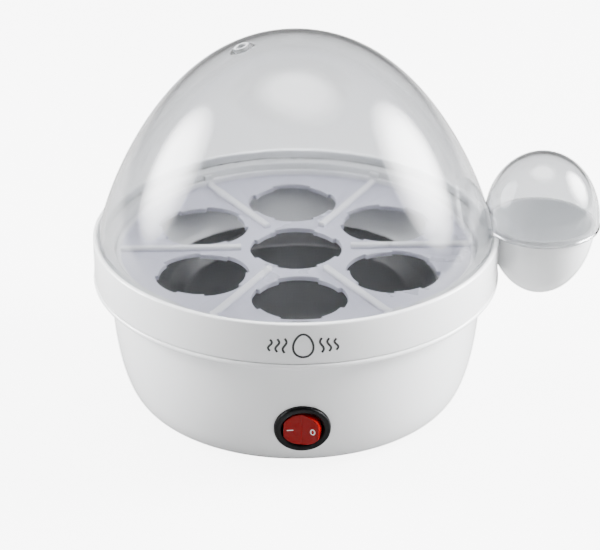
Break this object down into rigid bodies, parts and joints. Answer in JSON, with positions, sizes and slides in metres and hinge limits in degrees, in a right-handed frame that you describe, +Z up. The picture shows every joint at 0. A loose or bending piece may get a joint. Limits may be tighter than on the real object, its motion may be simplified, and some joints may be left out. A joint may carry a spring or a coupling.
{
  "type": "egg cooker",
  "caption": "Electric egg cooker: clear dome lid with a half-egg side cover, lift-out egg tray over a heating plate, white casing, round rocker switch.",
  "frame": {"origin": "on the casing's axis, at the level of the surface that the rubber feet stand on", "axes": "+Z up along the casing's axis; +X towards the side grip; -Y towards the switch, so +Y is the back with the cord inlet"},
  "size_m": [0.226, 0.181, 0.1673],
  "materials": {
    "housing_white": "glossy white polypropylene",
    "lid_clear": "clear moulding with a faint smoky tint",
    "tray_white": "translucent white polypropylene",
    "plate_coating": "dark non-stick coating on pressed sheet",
    "silicone": "matte silicone",
    "steel": "zinc-plated",
    "cast_aluminium": "as cast",
    "element_sheath": "heat-darkened",
    "brass": "bright",
    "phenolic": "moulded phenolic",
    "fuse_sleeve": "glass-fibre sleeve",
    "switch_black": "glossy black",
    "rocker_red": "translucent red",
    "lamp_glass": "clear",
    "gland_white": "satin nylon",
    "foot_rubber": "matte",
    "label_silver": "blank printed foil",
    "wire_brown": "silicone insulation",
    "wire_black": "silicone insulation",
    "wire_red": "silicone insulation",
    "wire_blue": "silicone insulation",
    "wire_green_yellow": "silicone insulation"
  },
  "bodies": {
    "base": {"upper_housing": "housing_white", "lower_housing": "housing_white", "bottom_cover": "housing_white", "cover_screws": "steel", "rubber_feet": "foot_rubber", "rating_label": "label_silver", "heating_plate": "plate_coating", "plate_gasket": "silicone", "plate_stud": "steel", "plate_spider": "steel", "spider_washer": "steel", "spider_nut": "steel", "heater_casting": "cast_aluminium", "heating_element": "element_sheath", "element_pins": "steel", "thermostat_cup": "cast_aluminium", "thermostat_body": "phenolic", "thermostat_bracket": "steel", "thermostat_screws": "steel", "thermostat_terminals": "brass", "thermal_fuse": "fuse_sleeve", "switch_housing": "switch_black", "switch_terminals": "brass", "fixed_contact": "brass", "cord_gland": "gland_white", "gland_ring": "gland_white", "terminal_block": "gland_white", "terminal_tubes": "brass", "terminal_screws": "steel", "earth_tag": "steel", "live_wire": "wire_brown", "switched_wire": "wire_black", "heater_wire": "wire_red", "neutral_wire": "wire_blue", "earth_wire": "wire_green_yellow"},
    "tray": {"egg_tray": "tray_white"},
    "lid": {"lid": "lid_clear"},
    "rocker": {"switch_rocker": "rocker_red", "switch_plunger": "brass", "switch_spring": "steel", "pilot_lamp": "lamp_glass"},
    "contact_arm": {"contact_arm": "brass"}
  },
  "joints": [
    {"name": "tray_lift", "type": "slide", "parent": "base", "child": "tray", "axis": [0, 0, 1], "range_m": [0, 0.1]},
    {"name": "lid_lift", "type": "slide", "parent": "tray", "child": "lid", "axis": [0, 0, 1], "range_m": [0, 0.12]},
    {"name": "rocker_tilt", "type": "hinge", "parent": "base", "child": "rocker", "pos_m": [0, -0.07852, 0.02365], "axis": [0, -0.1747, 0.9846], "range_deg": [0, 18]},
    {"name": "contact_tilt", "type": "hinge", "parent": "base", "child": "contact_arm", "pos_m": [0, -0.06887, 0.02536], "axis": [0, -0.1747, 0.9846], "range_deg": [-14, 0]}
  ],
  "couplings": [
    {"joint": "contact_tilt", "follows": "rocker_tilt", "ratio": -0.77778}
  ]
}
